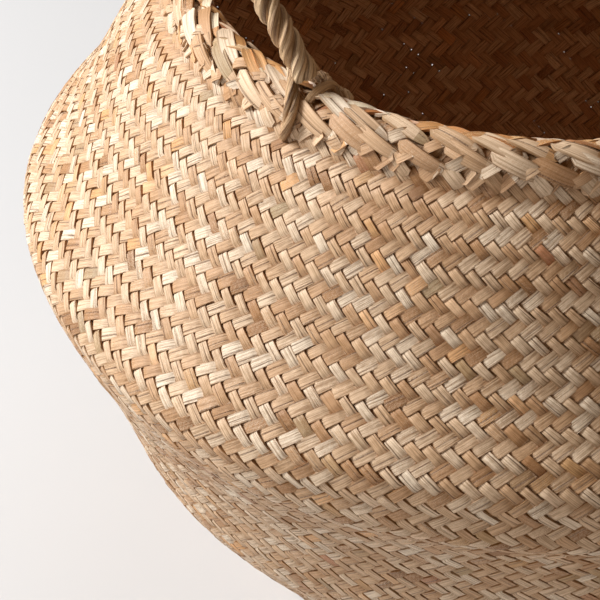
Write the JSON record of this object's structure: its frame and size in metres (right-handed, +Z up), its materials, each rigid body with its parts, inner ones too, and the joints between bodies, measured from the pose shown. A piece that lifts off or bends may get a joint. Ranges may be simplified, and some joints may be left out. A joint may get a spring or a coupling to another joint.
{
  "type": "seagrass storage basket",
  "caption": "Round seagrass belly basket, woven in twill with a folded waist, a braided rim and rope handles that swing at the mouth.",
  "frame": {"origin": "middle of the underside of the woven base, on the surface that the basket stands on", "axes": "+Z up through the middle of the mouth; the handles stand over +X and -X"},
  "size_m": [0.32, 0.32, 0.27],
  "materials": {
    "woven_seagrass": "matte",
    "plaited_seagrass": "matte",
    "core_bundle": "matte",
    "twisted_rope": "matte"
  },
  "bodies": {
    "basket": {"woven_base": "woven_seagrass", "lower_wall": "woven_seagrass", "waist_wall": "woven_seagrass", "belly_wall": "woven_seagrass", "neck_wall": "woven_seagrass", "rim_core": "core_bundle", "rim_braid": "plaited_seagrass", "rim_edge_cord": "plaited_seagrass", "rim_turned_ends": "plaited_seagrass", "right_handle_front_loop": "twisted_rope", "right_handle_front_tail": "twisted_rope", "right_handle_rear_loop": "twisted_rope", "right_handle_rear_tail": "twisted_rope", "left_handle_front_loop": "twisted_rope", "left_handle_front_tail": "twisted_rope", "left_handle_rear_loop": "twisted_rope", "left_handle_rear_tail": "twisted_rope"},
    "right_handle": {"right_handle_ply_1": "twisted_rope", "right_handle_ply_2": "twisted_rope", "right_handle_ply_3": "twisted_rope"},
    "left_handle": {"left_handle_ply_1": "twisted_rope", "left_handle_ply_2": "twisted_rope", "left_handle_ply_3": "twisted_rope"}
  },
  "joints": [
    {"name": "right_handle_swing", "type": "hinge", "parent": "basket", "child": "right_handle", "pos_m": [0.09579, 0, 0.2278], "axis": [0, 1, 0], "range_deg": [-110, 95]},
    {"name": "left_handle_swing", "type": "hinge", "parent": "basket", "child": "left_handle", "pos_m": [-0.09579, 0, 0.2278], "axis": [0, -1, 0], "range_deg": [-110, 95]}
  ]
}
